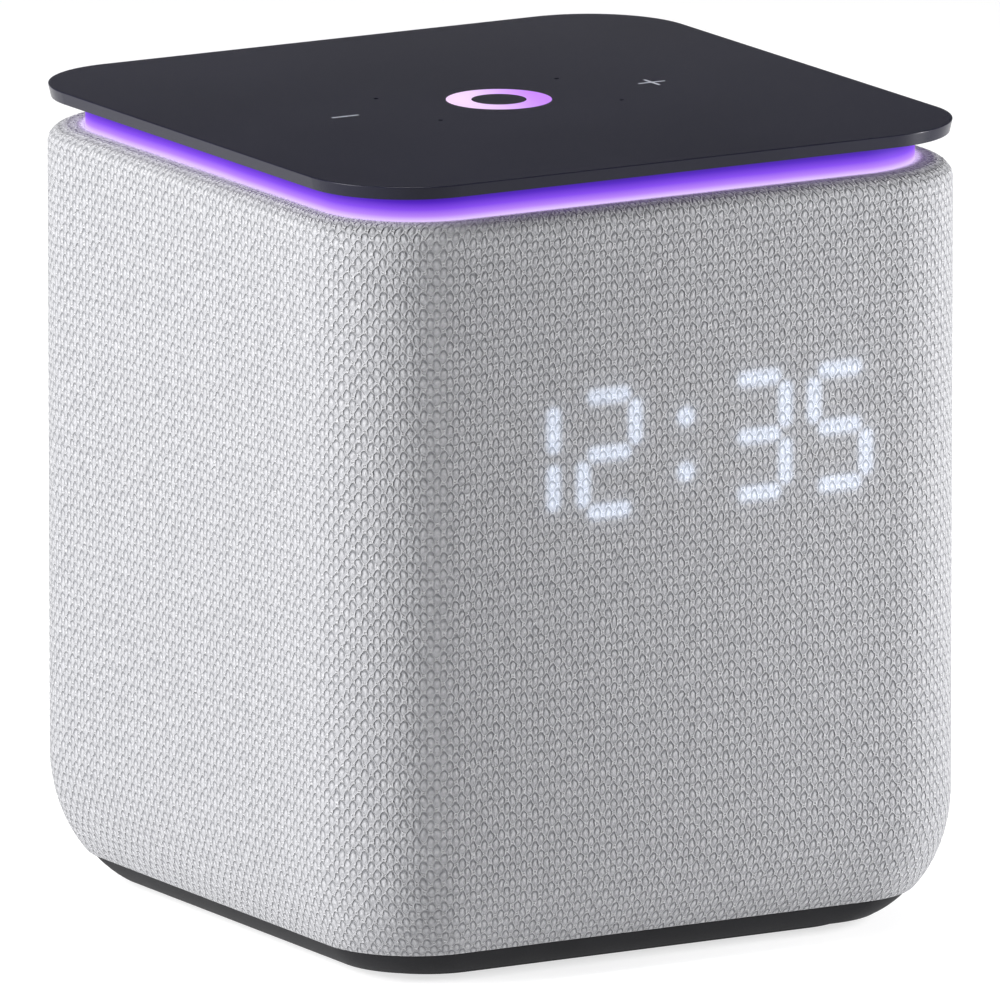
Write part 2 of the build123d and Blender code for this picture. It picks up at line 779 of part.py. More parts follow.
cap_radius = 9.4
cone_slope = (cone_neck_y - flange_front) / (cone_rim - cone_land - cone_neck)
cap_rim_y = cone_neck_y - cone_slope * (cap_radius - cone_neck)
cap_skin = 0.7
cap_inner = cap_radius - cap_skin
cap_inner_y = cone_neck_y - cone_slope * (cap_inner - cone_neck)
cap_rise = 3.2

with BuildPart() as woofer_dust_cap:
    with BuildSketch(woofer_profile) as cap_section:
        with BuildLine():
            outer_end = (cap_rim_y - cap_rise, 0)
            inner_end = (cap_rim_y - cap_rise + cap_skin, 0)
            RadiusArc((cap_rim_y, cap_radius), outer_end, -(cap_radius ** 2 + cap_rise ** 2) / (2 * cap_rise))
            Line(outer_end, inner_end)
            inner_rise = cap_inner_y - inner_end[0]
            inner_bend = (cap_inner ** 2 + inner_rise ** 2) / (2 * inner_rise)
            RadiusArc((cap_inner_y, cap_inner), inner_end, -inner_bend)
            Line((cap_inner_y, cap_inner), (cap_rim_y, cap_radius))
        make_face()
    revolve(axis=woofer_axis)
save(woofer_dust_cap.part, "woofer_dust_cap")


def tube(plane, outer, inner, length):
    """A ring or tube that starts on the plane and runs against its normal."""
    with BuildSketch(plane, mode=Mode.PRIVATE) as ring:
        Circle(outer)
        Circle(inner, mode=Mode.SUBTRACT)
    return extrude(ring.sketch, amount=-length, mode=Mode.PRIVATE)


former_radius = 8.0
former_wall = 0.3
former_length = 17.0
former_proud = 0.2
winding_front = -32.5
winding_radius = 8.5
winding_inner = 7.9
winding_length = 6.0

with BuildPart() as woofer_voice_coil:
    former_front = upright(cone_neck_y - former_proud, 0, woofer_z)
    add(tube(former_front, former_radius, former_radius - former_wall, former_length))
    add(tube(upright(winding_front, 0, woofer_z), winding_radius, winding_inner, winding_length))
save(woofer_voice_coil.part, "woofer_voice_coil")

spider_gap = 0.6
spider_outer = basket_radius(spider_y) - basket_wall - spider_gap
spider_inner = 8.05
spider_ripples = 4
ripple_height = 0.5
spider_thickness = 0.4

with BuildPart() as woofer_spider:
    with BuildSketch(woofer_profile) as spider_section:
        step = (spider_outer - spider_inner) / (2 * spider_ripples)
        front_line = []
        for i in range(2 * spider_ripples + 1):
            front_line.append((spider_y + ripple_height * (-1) ** i, spider_inner + i * step))
        back_line = [(y + spider_thickness, r) for y, r in reversed(front_line)]
        with BuildLine():
            Polyline(*front_line, *back_line, close=True)
        make_face()
    revolve(axis=woofer_axis)
save(woofer_spider.part, "woofer_spider")

motor_radius = 19.0
motor_hole = 8.9
motor_plate = 4.0
magnet_radius = 20.0
magnet_hole = 10.5
magnet_height = 10.0
pole_radius = 7.4
pole_vent = 2.5
motor_height = 2 * motor_plate + magnet_height

with BuildPart() as woofer_front_plate:
    add(tube(upright(basket_back, 0, woofer_z), motor_radius, motor_hole, motor_plate))
save(woofer_front_plate.part, "woofer_front_plate")

with BuildPart() as woofer_magnet:
    add(tube(upright(basket_back + motor_plate, 0, woofer_z), magnet_radius, magnet_hole, magnet_height))
save(woofer_magnet.part, "woofer_magnet")

with BuildPart() as woofer_yoke:
    with Locations(upright(basket_back, 0, woofer_z)):
        Cylinder(pole_radius, motor_height, align=down_align)
    with Locations(upright(basket_back + motor_plate + magnet_height, 0, woofer_z)):
        Cylinder(motor_radius, motor_plate, align=down_align)
    with Locations(upright(basket_back + motor_height, 0, woofer_z)):
        Cylinder(pole_vent, 3 * motor_height, mode=Mode.SUBTRACT)
save(woofer_yoke.part, "woofer_yoke")

with BuildPart() as woofer_screws:
    add_screws([upright(flange_front, x, z) for x, z in woofer_screw_spots], woofer_screw)
save(woofer_screws.part, "woofer_screws")

# ---------------------------------------------------------------- passive radiators

radiator_profile = Plane((0, 0, radiator_z), x_dir=(1, 0, 0), z_dir=(0, -1, 0))
radiator_axis = Axis((0, 0, radiator_z), (1, 0, 0))
radiator_face = Plane((box_x, 0, radiator_z), x_dir=(0, 1, 0), z_dir=(1, 0, 0))
frame_depth = 3.0
disc_radius = 22.7
disc_thickness = 2.0
radiator_rim = 33.0
radiator_screw_hole = 1.5
disc_land = 2.0
radiator_roll = 5.0
frame_land = 1.6
weight_radius = 9.0
weight_thickness = 2.0

with BuildPart() as radiator_frame:
    add(tube(radiator_face.offset(frame_depth), radiator_rim, radiator_hole, frame_depth))
    with Locations(radiator_face):
        with PolarLocations(radiator_screw_ring, 4, 45):
            Cylinder(radiator_screw_hole, 2 * cut, mode=Mode.SUBTRACT)

with BuildPart() as radiator_surround:
    seat = -(box_x + frame_depth)
    edge = surround_section(radiator_profile, seat, disc_land, disc_radius, radiator_roll, frame_land)
    revolve(edge, axis=radiator_axis)

with BuildPart() as radiator_diaphragm:
    with Locations(radiator_face.offset(frame_depth)):
        Cylinder(disc_radius, disc_thickness, align=down_align)
    with Locations(radiator_face.offset(frame_depth - disc_thickness)):
        Cylinder(weight_radius, weight_thickness, align=down_align)

save(radiator_frame.part, "radiator_right_frame")
save(radiator_frame.part.mirror(Plane.YZ), "radiator_left_frame")
save(radiator_surround.part, "radiator_left_surround")
save(radiator_surround.part.mirror(Plane.YZ), "radiator_right_surround")
save(radiator_diaphragm.part, "radiator_right_diaphragm")
save(radiator_diaphragm.part.mirror(Plane.YZ), "radiator_left_diaphragm")

with BuildPart() as radiator_screws:
    for sign in (-1, 1):
        face_out = Plane((sign * (box_x + frame_depth), 0, radiator_z), x_dir=(0, 1, 0), z_dir=(sign, 0, 0))
        for i in range(4):
            angle = pi / 4 + i * pi / 2
            on_ring = (radiator_screw_ring * cos(angle), radiator_screw_ring * sin(angle))
            spot = face_out.from_local_coords(on_ring)
            add_screws([Plane(spot, x_dir=(0, 1, 0), z_dir=(sign, 0, 0))], radiator_screw)
save(radiator_screws.part, "radiator_screws")

# ---------------------------------------------------------------- tweeters

tweeter_face = Plane((box_x, tweeter_y, tweeter_z), x_dir=(0, 1, 0), z_dir=(1, 0, 0))
tweeter_profile = Plane((0, tweeter_y, tweeter_z), x_dir=(1, 0, 0), z_dir=(0, -1, 0))
tweeter_axis = Axis((0, tweeter_y, tweeter_z), (1, 0, 0))
tweeter_depth = 7.0
tweeter_flange = 14.0
tweeter_body = 11.0
tweeter_bore = 8.6
flange_depth = 1.6
tweeter_back_radius = 9.0
tweeter_back_depth = 2.4
tweeter_pole_radius = 6.8
tweeter_pole_depth = 4.6
dome_radius = 8.0
dome_rise = 2.0
dome_skin = 0.4
dome_skirt = 3.0
dome_x = box_x + tweeter_depth - dome_skin

with BuildPart() as tweeter_motor:
    add(tube(tweeter_face.offset(tweeter_depth), tweeter_flange, tweeter_bore, flange_depth))
    body_depth = tweeter_depth - flange_depth
    add(tube(tweeter_face.offset(body_depth), tweeter_body, tweeter_bore, body_depth))
    with Locations(tweeter_face):
        Cylinder(tweeter_back_radius, tweeter_back_depth, align=up_align)
        Cylinder(tweeter_pole_radius, tweeter_pole_depth, align=up_align)

with BuildPart() as tweeter_dome:
    with BuildSketch(tweeter_profile) as dome_section:
        with BuildLine():
            dome_tip = (dome_x + dome_rise, 0)
            inner_tip = (dome_x + dome_rise - dome_skin, 0)
            RadiusArc((dome_x, dome_radius), dome_tip, (dome_radius ** 2 + dome_rise ** 2) / (2 * dome_rise))
            Line(dome_tip, inner_tip)
            low_radius = dome_radius - dome_skin
            low_rise = dome_rise - dome_skin
            RadiusArc((dome_x, low_radius), inner_tip, (low_radius ** 2 + low_rise ** 2) / (2 * low_rise))
            Line((dome_x, low_radius), (dome_x, dome_radius))
        make_face()
    revolve(axis=tweeter_axis)
    add(tube(tweeter_face.offset(tweeter_depth - dome_skin), dome_radius, low_radius, dome_skirt))

save(tweeter_motor.part, "tweeter_right_motor")
save(tweeter_motor.part.mirror(Plane.YZ), "tweeter_left_motor")
save(tweeter_dome.part, "tweeter_right_dome")
save(tweeter_dome.part.mirror(Plane.YZ), "tweeter_left_dome")

# ---------------------------------------------------------------- main board

board_top = board_low + board
main_board_half = 42.0
main_board_corner = 5.0
amp_x = 16.0
amp_y = 10.0
processor_x = -18.0
processor_y = 8.0
shield_side = 26.0
shield_height = 2.6
shield_wall = 0.3
shield_round = 0.2

with BuildPart() as main_board:
    extrude(rounded_square(board_low, main_board_half, main_board_corner), amount=board)
    with Locations(*[(x, y, board_low) for x, y in board_screw_spots]):
        Cylinder(small_hole + slip, cut, mode=Mode.SUBTRACT)
save(main_board.part, "main_board")

with BuildPart() as processor_shield:
    with Locations((processor_x, processor_y, board_top)):
        Box(shield_side, shield_side, shield_height, align=up_align)
        inside_side = shield_side - 2 * shield_wall
        Box(inside_side, inside_side, shield_height - shield_wall, align=up_align, mode=Mode.SUBTRACT)
    fillet(processor_shield.edges().group_by(Axis.Z)[-1], shield_round)
save(processor_shield.part, "processor_shield")

amp_size = (14.0, 14.0, 1.2)
processor_size = (14.0, 14.0, 1.4)
memory_size = (10.0, 12.0, 1.0)
memory_places = ((-18.0, -14.0), (-4.0, -14.0))
coil_size = (7.6, 7.6, 4.0)
coil_pitch = 10.0
coil_place = (10.0, -14.0)
capacitor_radius = 4.0
capacitor_height = 7.0
capacitor_place = (30.0, -18.0)
board_socket_height = 1.4
display_socket_y = -36.0
touch_socket_y = 32.0
rear_socket_y = 37.0
rear_socket_x = -17.0

with BuildPart() as board_components:
    with Locations((amp_x, amp_y, board_top)):
        Box(*amp_size, align=up_align)
    with Locations((processor_x, processor_y, board_top)):
        Box(*processor_size, align=up_align)
    with Locations(*[(x, y, board_top) for x, y in memory_places]):
        Box(*memory_size, align=up_align)
    with Locations((*coil_place, board_top)):
        with GridLocations(coil_pitch, coil_pitch, 2, 2):
            Box(*coil_size, align=up_align)
    with Locations((*capacitor_place, board_top)):
        with GridLocations(1, coil_pitch, 1, 3):
            Cylinder(capacitor_radius, capacitor_height, align=up_align)
    sockets = ((display_x, display_socket_y), (0, touch_socket_y), (rear_socket_x, rear_socket_y))
    with Locations(*[(x, y, board_top) for x, y in sockets]):
        Box(socket_length, socket_depth, board_socket_height, align=up_align)
save(board_components.part, "board_components")

sink_side = 24.0
sink_floor = 1.8
fin_thickness = 1.1
fin_height = 7.0
fin_pitch = 3.0
fin_count = 8

with BuildPart() as heat_sink:
    with Locations((amp_x, amp_y, board_top + amp_size[2])):
        Box(sink_side, sink_side, sink_floor, align=up_align)
        with GridLocations(fin_pitch, 1, fin_count, 1):
            Box(fin_thickness, sink_side, fin_height, align=up_align)
save(heat_sink.part, "heat_sink")

with BuildPart() as m2_screws:
    add_screws([plane_up(x, y, board_top) for x, y in board_screw_spots], board_screw)
    add_screws([plane_down(x, y, deck_low) for x, y in deck_screw_spots], deck_screw)
    rear_seat = rear_board_back + board
    for x, z in rear_screw_spots:
        seat_plane = Plane((x, rear_seat, z), x_dir=(1, 0, 0), z_dir=(0, 1, 0))
        add_screws([seat_plane], board_screw)
    tab_back = -side / 2 + shell_inside + well_gap + tab_thickness
    for x, z in display_screw_spots:
        seat_plane = Plane((x, tab_back, z), x_dir=(1, 0, 0), z_dir=(0, 1, 0))
        add_screws([seat_plane], display_screw)
save(m2_screws.part, "m2_screws")

ribbon_thickness = 0.3
ribbon_bend = 1.5


def add_ribbon(x, width, route):
    """A flat cable of the given width that follows a bent route in a plane across X."""
    cut = Plane((x - width / 2, 0, 0), x_dir=(0, 1, 0), z_dir=(1, 0, 0))
    with BuildSketch(cut, mode=Mode.PRIVATE) as section:
        with BuildLine():
            FilletPolyline(*route, radius=ribbon_bend)
        trace(line_width=ribbon_thickness)
    extrude(section.sketch, amount=width)


socket_top = board_top + board_socket_height + ribbon_thickness / 2 + slip
display_ribbon_y = housing_back + board + socket_height + ribbon_thickness / 2 + slip
display_ribbon_high = 114.5
touch_ribbon_high = touch_low - socket_height - ribbon_thickness / 2 - slip
touch_ribbon_turn = 119.0
back_ribbon_high = 115.0
back_ribbon_width = 5.0
back_ribbon_y = 50.4
back_ribbon_low = 47.0
display_route = [
    (display_ribbon_y, display_socket_z), (display_ribbon_y, display_ribbon_high),
    (display_socket_y, display_ribbon_high), (display_socket_y, socket_top),
]
touch_route = [
    (socket_y, touch_ribbon_high), (socket_y, touch_ribbon_turn),
    (touch_socket_y, back_ribbon_high), (touch_socket_y, socket_top),
]
back_route = [
    (back_ribbon_y, back_ribbon_low), (back_ribbon_y, back_ribbon_high),
    (rear_socket_y, back_ribbon_high), (rear_socket_y, socket_top),
]

with BuildPart() as ribbon_cables:
    add_ribbon(display_x, ribbon_width, display_route)
    add_ribbon(0, ribbon_width, touch_route)
    add_ribbon(rear_socket_x, back_ribbon_width, back_route)
save(ribbon_cables.part, "ribbon_cables")

# ---------------------------------------------------------------- rear bezel, inlet and button

bezel_front = side / 2
panel = 2.0
recess_floor = bezel_front - 5.0
skirt_end = 54.0
hook_front = 55.4
hook_reach = 2.0
skirt_wall = 1.5
skirt_cut = 6.0
tub_size = (17.0, 11.0, 4.0)  # width, height and corner radius
recess_size = (14.0, 8.0, 3.0)
inlet_hole_size = (9.3, 3.5, 1.7)
recess_wall = 1.0
button_hole = 4.7
rear_board_size = (42.0, 18.0, 1.5)
inlet_block_size = (9.6, 4.4, 0.4)
inlet_block_depth = 2.6
inlet_outer = (8.94, 3.16, 1.5)
inlet_inner = (8.34, 2.56, 1.2)
inlet_tongue = (6.6, 0.7)
inlet_depth = 5.0


def rear_plane(y, x=0.0):
    """A vertical plane that faces the back, at the bezel's height."""
    return Plane((x, y, bezel_z), x_dir=(-1, 0, 0), z_dir=(0, 1, 0))


with BuildPart() as rear_bezel:
    with BuildSketch(rear_plane(bezel_front)) as bezel_outline:
        RectangleRounded(bezel_width, bezel_height, bezel_corner)
    extrude(amount=skirt_end - bezel_front)
    with BuildSketch(rear_plane(hook_front)) as hook_outline:
        RectangleRounded(bezel_width + 2 * hook_reach, bezel_height + 2 * hook_reach, bezel_corner + hook_reach)
    extrude(amount=skirt_end - hook_front)
    with BuildSketch(rear_plane(bezel_front - panel)) as bezel_inside:
        RectangleRounded(bezel_width - 2 * skirt_wall, bezel_height - 2 * skirt_wall, bezel_corner - skirt_wall)
    extrude(amount=-skirt_cut, mode=Mode.SUBTRACT)
    with BuildSketch(rear_plane(bezel_front - panel, inlet_x)) as tub:
        RectangleRounded(*tub_size)
    extrude(amount=recess_floor - recess_wall - (bezel_front - panel))
    with BuildSketch(rear_plane(bezel_front, inlet_x)) as recess:
        RectangleRounded(*recess_size)
    extrude(amount=recess_floor - bezel_front, mode=Mode.SUBTRACT)
    with BuildSketch(rear_plane(bezel_front, inlet_x)) as inlet_hole:
        RectangleRounded(*inlet_hole_size)
    extrude(amount=-cut, mode=Mode.SUBTRACT)
    with Locations(rear_plane(bezel_front, button_x)):
        Cylinder(button_hole, cut, mode=Mode.SUBTRACT)
save(rear_bezel.part, "rear_bezel")

with BuildPart() as rear_board:
    with BuildSketch(rear_plane(rear_board_back)) as rear_outline:
        RectangleRounded(*rear_board_size)
    extrude(amount=board)
    with BuildSketch(rear_plane(rear_board_back)) as rear_holes:
        with Locations(*[(x, z - bezel_z) for x, z in rear_screw_spots]):
            Circle(small_hole + slip)
    extrude(amount=board, mode=Mode.SUBTRACT)
save(rear_board.part, "rear_board")

rear_board_front = rear_board_back + board

with BuildPart() as usb_c_inlet:
    with BuildSketch(rear_plane(rear_board_front, inlet_x)) as inlet_block:
        RectangleRounded(*inlet_block_size)
    extrude(amount=inlet_block_depth)
    with BuildSketch(rear_plane(rear_board_front, inlet_x)) as inlet_shell:
        RectangleRounded(*inlet_outer)
        RectangleRounded(*inlet_inner, mode=Mode.SUBTRACT)
        Rectangle(*inlet_tongue)
    extrude(amount=inlet_depth)
save(usb_c_inlet.part, "usb_c_inlet")

button_face = bezel_front - 0.2
button_radius = 4.4
button_height = 2.2
button_round = 0.4
button_rim = 5.6
button_rim_height = 0.8
stem_radius = 1.5
stem_set_back = 0.5
stem_reach_in = 0.5
switch_side = 6.0
switch_height = 2.0
switch_well = 1.8
switch_well_depth = 1.6
switch_top = rear_board_front + switch_height

with BuildPart() as mute_button:
    with Locations(rear_plane(button_face, button_x)):
        Cylinder(button_radius, button_height, align=down_align)
    fillet(mute_button.edges().group_by(Axis.Y)[-1], button_round)
    with Locations(rear_plane(bezel_front - panel - slip, button_x)):
        Cylinder(button_rim, button_rim_height, align=down_align)
    with Locations(rear_plane(bezel_front - panel - stem_set_back, button_x)):
        reach = bezel_front - panel - stem_set_back - (switch_top - stem_reach_in)
        Cylinder(stem_radius, reach, align=down_align)
save(mute_button.part, "mute_button")

with BuildPart() as mute_switch:
    with Locations(rear_plane(rear_board_front, button_x)):
        Box(switch_side, switch_side, switch_height, align=up_align)
    with Locations(rear_plane(switch_top, button_x)):
        Cylinder(switch_well, 2 * switch_well_depth, mode=Mode.SUBTRACT)
save(mute_switch.part, "mute_switch")
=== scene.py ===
import json
import math

import bmesh
import bpy
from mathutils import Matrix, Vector

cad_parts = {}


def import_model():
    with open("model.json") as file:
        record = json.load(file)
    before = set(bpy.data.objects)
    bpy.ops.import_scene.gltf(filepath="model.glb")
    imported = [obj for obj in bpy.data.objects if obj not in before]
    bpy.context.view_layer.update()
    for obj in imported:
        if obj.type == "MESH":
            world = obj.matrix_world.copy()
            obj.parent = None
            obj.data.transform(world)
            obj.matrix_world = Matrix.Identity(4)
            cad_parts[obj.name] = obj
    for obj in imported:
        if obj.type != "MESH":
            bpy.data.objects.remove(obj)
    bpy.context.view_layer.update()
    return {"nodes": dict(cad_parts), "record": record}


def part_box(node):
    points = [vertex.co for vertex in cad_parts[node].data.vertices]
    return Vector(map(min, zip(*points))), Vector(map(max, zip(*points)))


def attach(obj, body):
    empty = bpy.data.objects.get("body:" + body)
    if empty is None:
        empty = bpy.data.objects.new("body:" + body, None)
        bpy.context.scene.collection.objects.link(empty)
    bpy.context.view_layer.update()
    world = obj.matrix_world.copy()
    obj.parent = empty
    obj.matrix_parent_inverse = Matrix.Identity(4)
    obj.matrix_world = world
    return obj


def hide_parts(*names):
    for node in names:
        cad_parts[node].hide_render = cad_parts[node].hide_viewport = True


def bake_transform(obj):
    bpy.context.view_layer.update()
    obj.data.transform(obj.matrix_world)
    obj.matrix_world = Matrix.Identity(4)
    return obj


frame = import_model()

MM = 0.001

# ------------------------------------------------------------------ sizes, in metres
FABRIC_LOW, FABRIC_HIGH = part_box("fabric_sleeve")
RING_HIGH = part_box("light_ring")[1]
BEZEL_LOW, BEZEL_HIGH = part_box("rear_bezel")
SEGMENTS_LOW, SEGMENTS_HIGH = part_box("display_segments_lit")
UNLIT_LOW, UNLIT_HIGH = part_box("display_segments_unlit")

HALF = FABRIC_HIGH.x  # half the sleeve's width
CORNER = 17.7 * MM  # vertical corner radius
CURVE_TOP = 22.24 * MM  # below this height the walls curve in
CURVE_INSET = 14.64 * MM
CURVE_DROP = 22.67 * MM
CORNER_SHARE = 0.4  # the corner radius shrinks by this share of the inset
SHOULDER = 3.0 * MM
EDGE_ROLL = 0.45 * MM  # radius of the rolled edge at the hem, the lip and the rear cut-out
RING_CORNER = 16.3 * MM
RING_GAP = 0.1 * MM

# Knit: stitches stand in staggered rows, each a pointed oval two rows tall
WALL_CELLS = 39  # stitches along the flat part of one wall
CORNER_CELLS = 13  # and round one corner
COLUMNS_PER_CELL = 2
ROW = 1.375 * MM
STEPS_PER_ROW = 2
ARCH_WIDTH = 0.36  # half width of a stitch's arch, in stitches
ARCH_HEIGHT = 0.8  # half height of it, in rows
WANDER_ACROSS = 0.36  # how far the yarn strays from the lattice, in stitches
WANDER_UP = 0.8  # and in rows
LIP_SHARE = 0.2  # share of the lip inset taken off its corner radius, so that it follows the light ring
RELIEF = 0.1 * MM  # how far the yarn stands above the middle of a cell

# Surrounds and spider: number of wedges, and the radii where the moving part ends and the held rim starts
WOOFER_FLEX = (36, 19.8 * MM, 22.0 * MM)
SPIDER_FLEX = (12, 8.2 * MM, 18.0 * MM)
RADIATOR_FLEX = (20, 23.1 * MM, 27.3 * MM)
WELD = 0.001 * MM

# Clock display, seen through the knit
DIGIT_HEIGHT = SEGMENTS_HIGH.z - SEGMENTS_LOW.z
DISPLAY_X = (UNLIT_LOW.x + UNLIT_HIGH.x) / 2
DISPLAY_Z = (SEGMENTS_LOW.z + SEGMENTS_HIGH.z) / 2
DIGIT_WIDTH = 12.2 * MM
STROKE = 2.5 * MM
DIGIT_CENTRES = (-29.2 * MM, -14.0 * MM, 14.1 * MM, 29.2 * MM)
SHOWN_DIGITS = ("bc", "abged", "abgcd", "afgcd")
BAR_X = 2.75 * MM  # half the centre line of the clock's level strokes as they show through the knit
BAR_Z = 2.5 * MM  # and of its upright strokes
COLON_DOT = 3.1 * MM
COLON_X = 0.3 * MM
COLON_Z = 4.55 * MM
GLOW_EDGE = 0.85 * MM  # the knit spreads the light by this much either side of a stroke's edge
HALO_REACH = 3.5 * MM
HALO_SHARE = 0.04
FRONT_DEPTH = 4.0 * MM  # only the knit this close to the front face glows

# Violet light that the light ring throws on the knit: reach over the lip, and share of full brightness
RIM_WIDE = 5.0 * MM
RIM_WIDE_SHARE = 0.1
RIM_CLOSE = 1.6 * MM
RIM_CLOSE_SHARE = 0.65

# Cut-out round the rear bezel
BEZEL_GAP = 0.2 * MM
BEZEL_HOOK = 2.0 * MM  # the bezel's box includes a hook rim this wide, behind the sleeve
BEZEL_CORNER = 6.0 * MM
BACK_DEPTH = 3.0 * MM  # only the knit this close to the back face is cut
SNAP_ROUNDS = 3  # rounds of moving the cut edge onto its outline

# Camera and stage
AZIMUTH = math.radians(-30.09)
ELEVATION = math.radians(11.88)
TARGET = Vector((0, 0, 64.06 * MM))
TARGET_RIGHT = 0.177 * MM
TARGET_UP = 2.281 * MM
DISTANCE = 4.761
LENS = 1050.8
SENSOR = 36
CAMERA_REACH = 50
FLOOR_RADIUS = 4.0
FLOOR_GLOW = 0.72
WORLD_LIGHT = 0.04


def srgb(red, green, blue):
    """Linear colour of an 8-bit screen colour."""
    def linear(value):
        value /= 255
        return value / 12.92 if value <= 0.04045 else ((value + 0.055) / 1.055) ** 2.4
    return (linear(red), linear(green), linear(blue), 1.0)


def add_object(name, data):
    """Links a new object for this data into the scene."""
    made = bpy.data.objects.new(name, data)
    bpy.context.scene.collection.objects.link(made)
    return made


# ------------------------------------------------------------------ node helpers

class Shader:
    """A material under construction, with short calls for the nodes it needs."""

    def __init__(self, name):
        self.material = bpy.data.materials.new(name)
        self.material.use_nodes = True
        self.tree = self.material.node_tree
        self.principled = self.tree.nodes["Principled BSDF"]

    def node(self, kind, inputs=(), **settings):
        made = self.tree.nodes.new(kind)
        for key, value in settings.items():
            setattr(made, key, value)
        for key, value in dict(inputs).items():
            self.feed(made.inputs[key], value)
        return made

    def feed(self, socket, value):
        if isinstance(value, bpy.types.NodeSocket):
            self.tree.links.new(value, socket)
        else:
            socket.default_value = value

    def math(self, operation, first, second=0.0, third=0.0):
        made = self.node("ShaderNodeMath", operation=operation)
        for socket, value in zip(made.inputs, (first, second, third)):
            self.feed(socket, value)
        return made.outputs[0]

    def smooth(self, value, low, high):
        """0 at low, 1 at high, with a smooth rise between; low may be above high."""
        made = self.node("ShaderNodeMapRange", interpolation_type="SMOOTHSTEP")
        flipped = low > high
        ends = (high, low, 1.0, 0.0) if flipped else (low, high, 0.0, 1.0)
        for socket, number in zip(made.inputs, (value,) + ends):
            self.feed(socket, number)
        return made.outputs[0]

    def mix(self, share, first, second):
        made = self.node("ShaderNodeMix", data_type="RGBA")
        for socket, value in zip((made.inputs[0], made.inputs[6], made.inputs[7]), (share, first, second)):
            self.feed(socket, value)
        return made.outputs[2]

    def noise(self, vector, scale, detail=2.0, roughness=0.5):
        inputs = {"Vector": vector, "Scale": scale, "Detail": detail, "Roughness": roughness}
        return self.node("ShaderNodeTexNoise", inputs).outputs["Fac"]

    def place(self):
        return self.node("ShaderNodeTexCoord").outputs["Object"]

    def split(self, vector):
        return self.node("ShaderNodeSeparateXYZ", {0: vector}).outputs

    def bump(self, height, distance, strength=1.0):
        inputs = {"Height": height, "Distance": distance, "Strength": strength}
        return self.node("ShaderNodeBump", inputs).outputs["Normal"]

    def surface(self, **inputs):
        for key, value in inputs.items():
            self.feed(self.principled.inputs[key.replace("_", " ")], value)
        return self.material


def moulded(name, colour, roughness=0.5, grain=900.0, depth=0.02 * MM, specular=0.5, spread=0.12):
    """A moulded, cast or rubber surface: fine grain in its bump and gloss, and slow changes of tone."""
    made = Shader(name)
    place = made.place()
    fine = made.noise(place, grain, 3.0, 0.6)
    slow = made.noise(place, grain / 25, 2.0)
    darker = tuple(channel * (1 - spread) for channel in colour[:3]) + (1.0,)
    lighter = tuple(min(1.0, channel * (1 + spread)) for channel in colour[:3]) + (1.0,)
    tone = made.mix(made.smooth(slow, 0.35, 0.65), darker, lighter)
    gloss = made.math("MULTIPLY_ADD", fine, 0.16, roughness - 0.08)
    return made.surface(
        Base_Color=tone, Roughness=gloss, Normal=made.bump(fine, depth), Specular_IOR_Level=specular
    )


# ------------------------------------------------------------------ knit

def digit_strokes():
    """Each lit stroke and dot as a rounded bar: (x, z, half length along x, half length along z, radius)."""
    reach_x = (DIGIT_WIDTH - STROKE) / 2
    reach_z = (DIGIT_HEIGHT - STROKE) / 2
    places = {
        "a": (0, reach_z, BAR_X, 0), "g": (0, 0, BAR_X, 0), "d": (0, -reach_z, BAR_X, 0),
        "b": (reach_x, reach_z / 2, 0, BAR_Z), "c": (reach_x, -reach_z / 2, 0, BAR_Z),
        "e": (-reach_x, -reach_z / 2, 0, BAR_Z), "f": (-reach_x, reach_z / 2, 0, BAR_Z),
    }
    strokes = []
    for centre, shown in zip(DIGIT_CENTRES, SHOWN_DIGITS):
        for letter in shown:
            x, z, along_x, along_z = places[letter]
            strokes.append((DISPLAY_X + centre + x, DISPLAY_Z + z, along_x, along_z, STROKE / 2))
    for side in (1, -1):
        strokes.append((DISPLAY_X + COLON_X, DISPLAY_Z + side * COLON_Z, 0, 0, COLON_DOT / 2))
    return strokes


def display_glow(made, x, y, z):
    """1 on the lit strokes of the clock and a halo that reaches further, both 0 away from the front."""
    nearest = None
    for centre_x, centre_z, along_x, along_z, radius in digit_strokes():
        off_x = made.math("ABSOLUTE", made.math("SUBTRACT", x, centre_x))
        off_z = made.math("ABSOLUTE", made.math("SUBTRACT", z, centre_z))
        past_x = made.math("MAXIMUM", made.math("SUBTRACT", off_x, along_x), 0.0)
        past_z = made.math("MAXIMUM", made.math("SUBTRACT", off_z, along_z), 0.0)
        squared = made.math("MULTIPLY_ADD", past_x, past_x, made.math("MULTIPLY", past_z, past_z))
        distance = made.math("SUBTRACT", made.math("SQRT", squared), radius)
        nearest = distance if nearest is None else made.math("MINIMUM", nearest, distance)
    lit = made.smooth(nearest, GLOW_EDGE, -GLOW_EDGE)
    halo = made.smooth(nearest, HALO_REACH, 0.0)
    front = made.math("LESS_THAN", y, FRONT_DEPTH - HALF)
    return made.math("MULTIPLY", lit, front), made.math("MULTIPLY", halo, front)


